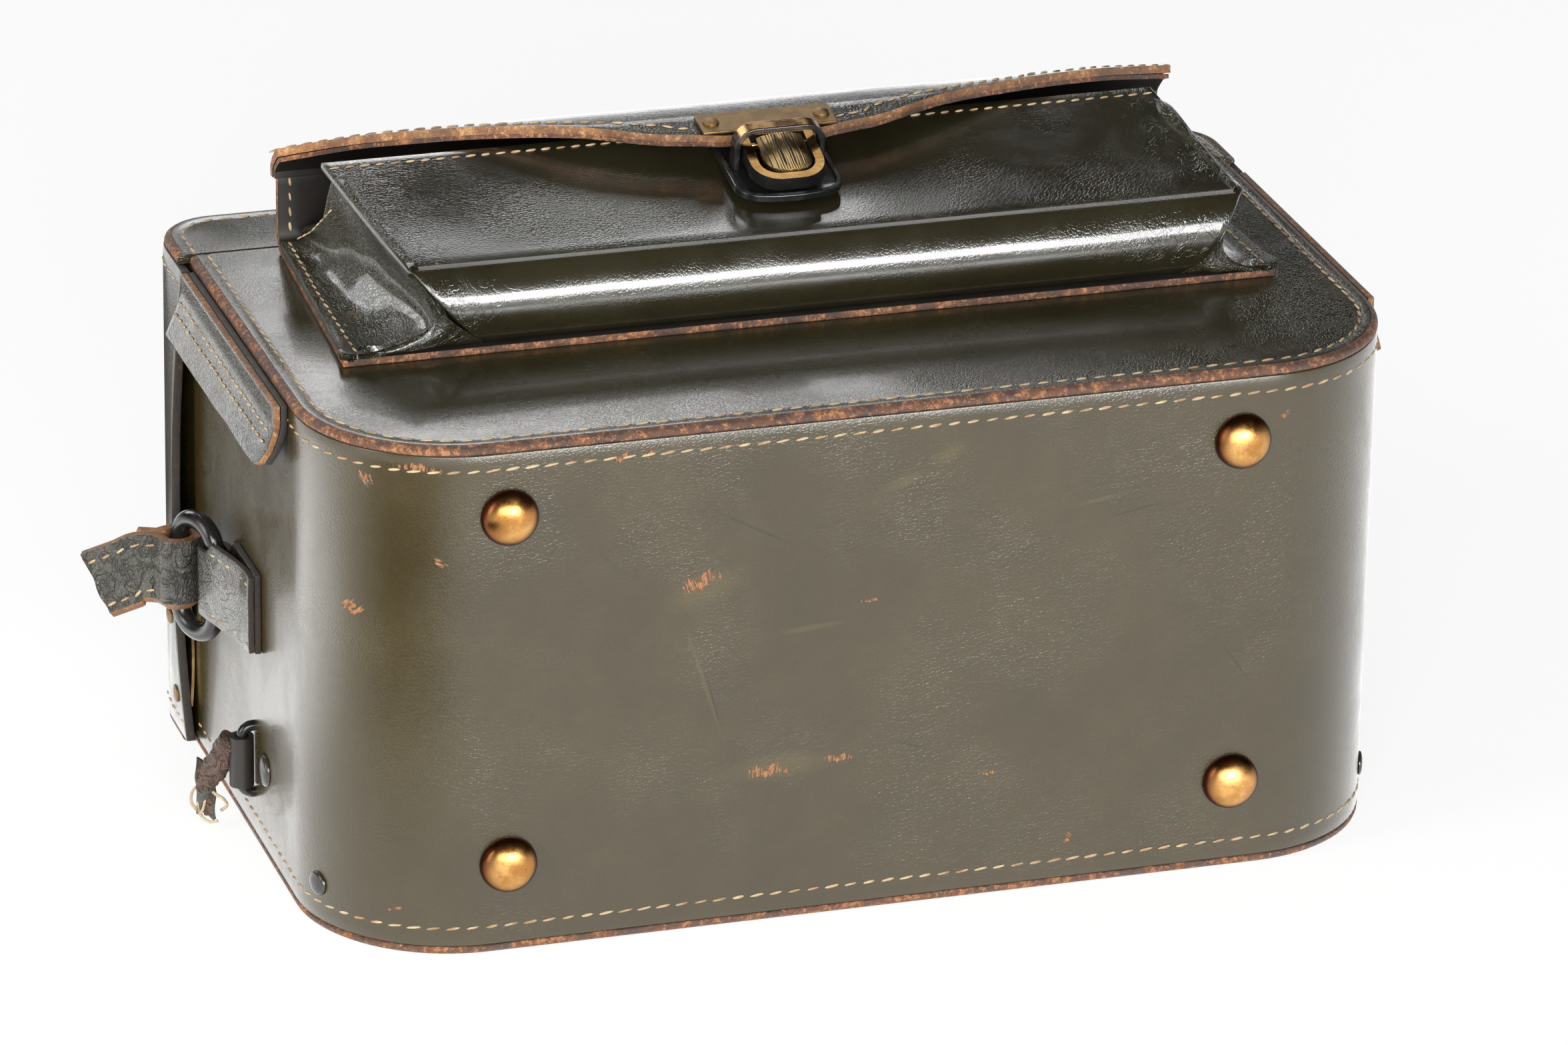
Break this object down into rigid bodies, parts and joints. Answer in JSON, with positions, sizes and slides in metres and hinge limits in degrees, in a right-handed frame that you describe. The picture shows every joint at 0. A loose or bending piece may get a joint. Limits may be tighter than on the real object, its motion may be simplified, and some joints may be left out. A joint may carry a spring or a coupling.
{
  "type": "camera case",
  "caption": "Leather camera outfit case with a hinged shallow lid, an accessory pocket closed by a tuck lock, domed feet, oval strap rings and a torn side loop.",
  "frame": {"origin": "middle of the back panel's outer face, on which the case lies", "axes": "+X across the case, +Y from its bottom face up to its lid, +Z out of its front panel"},
  "size_m": [0.3516, 0.1904, 0.1914],
  "materials": {
    "case_leather": "glossy olive green, scuffed",
    "fitting_leather": "dark, worn, raw edges",
    "torn_leather": "dry, cracked",
    "strap_leather": "grey olive, crackled",
    "board": "plain fibre board",
    "lining": "short nap",
    "aged_brass": "worn, dark patina",
    "black_enamel": "glossy black, worn edges"
  },
  "bodies": {
    "case": {"back_board": "board", "back_panel": "case_leather", "base_board": "board", "body_wrap": "case_leather", "chape_left": "fitting_leather", "chape_right": "fitting_leather", "clasp_arch": "black_enamel", "clasp_base_plate": "black_enamel", "corner_rivet_left": "black_enamel", "corner_rivet_right": "black_enamel", "divider_left": "lining", "divider_right": "lining", "foot_back_left": "aged_brass", "foot_back_right": "aged_brass", "foot_front_left": "aged_brass", "foot_front_right": "aged_brass", "front_board": "board", "front_panel": "case_leather", "lining": "lining", "pocket_back": "case_leather", "pocket_front": "case_leather", "pocket_gusset_left": "case_leather", "pocket_gusset_right": "case_leather", "side_flap_left": "case_leather", "side_flap_right": "case_leather", "staple_left": "black_enamel", "staple_right": "black_enamel", "wall_rivet_left": "black_enamel", "wall_rivet_right": "black_enamel"},
    "lid": {"catch_left": "aged_brass", "catch_right": "aged_brass", "catch_rivet_high_left": "aged_brass", "catch_rivet_high_right": "aged_brass", "catch_rivet_low_left": "aged_brass", "catch_rivet_low_right": "aged_brass", "lid_apron": "case_leather", "lid_back": "case_leather", "lid_lining": "lining", "lid_wrap": "case_leather"},
    "flap": {"pocket_flap": "case_leather", "flap_lining": "case_leather", "clasp_mount_plate": "aged_brass", "clasp_rivet_left": "aged_brass", "clasp_rivet_right": "aged_brass", "clasp_tongue": "aged_brass", "lever_pin": "aged_brass"},
    "lever": {"thumb_lever": "aged_brass"},
    "ring_left": {"ring_left": "black_enamel"},
    "ring_right": {"ring_right": "black_enamel"},
    "strap": {"strap_end_left": "strap_leather"},
    "torn_loop": {"torn_loop_left": "torn_leather"}
  },
  "joints": [
    {"name": "lid_hinge", "type": "hinge", "parent": "case", "child": "lid", "pos_m": [0, 0.0625, 0.145], "axis": [1, 0, 0], "range_deg": [0, 90]},
    {"name": "flap_draw", "type": "slide", "parent": "case", "child": "flap", "axis": [0, 0.891, 0.454], "range_m": [0, 0.02]},
    {"name": "thumb_lever_press", "type": "hinge", "parent": "flap", "child": "lever", "pos_m": [-0.0015, 0.00388, 0.18414], "axis": [1, 0, 0], "range_deg": [0, 5.5], "stiffness_Nm_per_rad": 0.4, "springref_deg": -2.86},
    {"name": "ring_swing_left", "type": "hinge", "parent": "case", "child": "ring_left", "pos_m": [-0.155, 0.016, 0.0674], "axis": [0, 0, 1], "range_deg": [-5, 50]},
    {"name": "ring_swing_right", "type": "hinge", "parent": "case", "child": "ring_right", "pos_m": [0.155, 0.016, 0.0674], "axis": [0, 0, 1], "range_deg": [-50, 5]},
    {"name": "strap_swing", "type": "hinge", "parent": "ring_left", "child": "strap", "pos_m": [-0.16172, 0.02919, 0.0673], "axis": [0, 0, 1], "range_deg": [-30, 30]},
    {"name": "torn_loop_swing", "type": "hinge", "parent": "case", "child": "torn_loop", "pos_m": [-0.1535, -0.006, 0.0244], "axis": [0, 0, 1], "range_deg": [-10, 25]}
  ]
}
